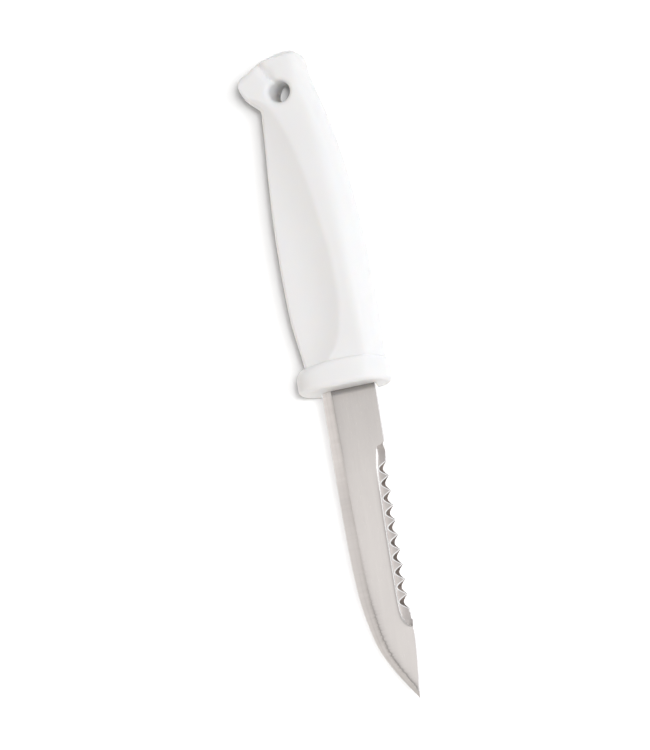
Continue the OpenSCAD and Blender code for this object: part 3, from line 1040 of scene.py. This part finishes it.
def make_floor():
    """Plain pale floor under the knife."""
    mesh = bpy.data.meshes.new("floor")
    corners = [(-1, -1), (1, -1), (1, 1), (-1, 1)]
    mesh.from_pydata([(FLOOR_HALF * x, FLOOR_HALF * y, 0) for x, y in corners], [], [(0, 1, 2, 3)])
    ob = bpy.data.objects.new("floor", mesh)
    bpy.context.scene.collection.objects.link(ob)
    n = Nodes("pale_floor")
    n.shader.inputs["Base Color"].default_value = (0.5, 0.5, 0.5, 1)
    n.shader.inputs["Roughness"].default_value = 0.9
    n.shader.inputs["Specular IOR Level"].default_value = 0.0
    mesh.materials.append(n.material)
    return ob


def add_light(light, place, tint):
    """Puts a lamp at the place, turned to the frame's origin."""
    light.color = tint
    ob = bpy.data.objects.new(light.name, light)
    ob.location = place
    ob.rotation_euler = (-Vector(place)).to_track_quat("-Z", "Y").to_euler()
    bpy.context.scene.collection.objects.link(ob)
    return ob


def reach(lamp, lit, shading=None):
    """Limits what a lamp lights, and what throws shadows in its light."""
    for role, members in (("receiver_collection", lit), ("blocker_collection", shading)):
        if members:
            group = bpy.data.collections.new(lamp.name + "_" + role)
            for ob in members:
                group.objects.link(ob)
            setattr(lamp.light_linking, role, group)


def make_sky(around, warm, cool, cool_side, overhead, towards, patch_power):
    """World light: a level all round, warm on one side and cool on the other, and a soft patch above."""
    world = bpy.data.worlds.new("studio")
    world.use_nodes = True
    tree = world.node_tree

    def node(kind, operation, *values):
        made = tree.nodes.new("ShaderNode" + kind)
        made.operation = operation
        for k, v in enumerate(values):
            if isinstance(v, bpy.types.NodeSocket):
                tree.links.new(v, made.inputs[k])
            else:
                made.inputs[k].default_value = v
        return made

    way = tree.nodes.new("ShaderNodeTexCoord").outputs["Generated"]
    side = node("VectorMath", "DOT_PRODUCT", way, cool_side).outputs["Value"]
    share = node("Math", "MULTIPLY_ADD", side, 0.5, 0.5).outputs[0]
    mix = tree.nodes.new("ShaderNodeMix")
    mix.data_type = "RGBA"
    tree.links.new(share, mix.inputs[MIX_FACTOR])
    mix.inputs[MIX_A].default_value = [around * c for c in warm] + [1]
    mix.inputs[MIX_B].default_value = [around * c for c in cool] + [1]
    up = node("VectorMath", "DOT_PRODUCT", way, Vector(towards).normalized()).outputs["Value"]
    lifted = node("Math", "MAXIMUM", up, 0.0).outputs[0]
    patch = node("Math", "POWER", lifted, patch_power).outputs[0]
    level = node("Math", "MULTIPLY", patch, overhead).outputs[0]
    total = node("VectorMath", "ADD", mix.outputs[MIX_RESULT], level).outputs["Vector"]
    tree.links.new(total, tree.nodes["Background"].inputs["Color"])
    bpy.context.scene.world = world


def make_sun(name, energy, angle, towards):
    """Sun whose width is the angle in degrees."""
    sun = bpy.data.lights.new(name, "SUN")
    sun.energy = energy
    sun.angle = math.radians(angle)
    return add_light(sun, towards, WHITE)


def make_box(name, energy, size, place, tint):
    """Square lamp, with its energy in watts and its side in metres."""
    box = bpy.data.lights.new(name, "AREA")
    box.size = size
    box.energy = energy
    return add_light(box, place, tint)


def make_lights(floor, blade, handle):
    """Sky for everything, a lamp for each piece, and lamps for the floor with its shadows."""
    make_sky(
        around=0.36, warm=(1.0, 0.875, 0.765), cool=(0.96, 1.03, 1.12), cool_side=(-0.5, 0.87, 0),
        overhead=0.95, towards=(-0.05, 0.0, 1.0), patch_power=4.0)
    handle_key = make_box("handle_key", energy=1.92, size=0.3, place=(0.05, 0.46, 0.56), tint=COOL_WHITE)
    blade_key = make_box("blade_key", energy=3.0, size=0.4, place=(0.6, 0.1, 0.75), tint=WHITE)
    handle_shadow = make_sun("handle_shadow", energy=2.36, angle=9, towards=(0.11, 0.33, 0.94))
    shared_shadow = make_sun("shared_shadow", energy=3.3, angle=24, towards=(0.1, 0.47, 0.877))
    tip_fill = make_box("tip_fill", energy=0.05, size=0.05, place=(0.11, -0.02, 0.08), tint=WHITE)
    reach(handle_key, [handle])
    reach(blade_key, [blade])
    reach(handle_shadow, [floor], [handle])
    reach(shared_shadow, [floor], [blade, handle])
    reach(tip_fill, [floor], [floor])  # blocked by nothing but the floor, so it throws no shadow


def make_camera():
    """Long lens over the knife, tilted towards the spine and the tip as in the photograph."""
    towards = Vector((*CAMERA_LEAN, 0.0))
    towards.z = math.sqrt(1 - towards.length_squared)
    level = (Vector((1, 0, 0)) - towards * towards.x).normalized()
    side = towards.cross(level)
    down = level * math.cos(CAMERA_ROLL) - side * math.sin(CAMERA_ROLL)
    right = level * math.sin(CAMERA_ROLL) + side * math.cos(CAMERA_ROLL)
    aim = ORIGIN + Vector((*AIM, 0)) * MM
    data = bpy.data.cameras.new("camera")
    data.sensor_width = 36
    data.lens = data.sensor_width * CAMERA_DISTANCE / (VIEW_HEIGHT * MM)
    data.clip_end = 10 * CAMERA_DISTANCE
    ob = bpy.data.objects.new("camera", data)
    place = aim + towards * CAMERA_DISTANCE
    turn = Matrix((right, -down, towards)).transposed().to_4x4()
    ob.matrix_world = Matrix.Translation(place) @ turn
    bpy.context.scene.collection.objects.link(ob)
    bpy.context.scene.camera = ob


# ---------------------------------------------------------------------------- build
bpy.context.scene.view_settings.view_transform = "Standard"
make_camera()
floor = make_floor()
blade = make_blade(steel_materials())
make_lights(floor, blade, make_handle(plastic()))

bpy.context.view_layer.update()
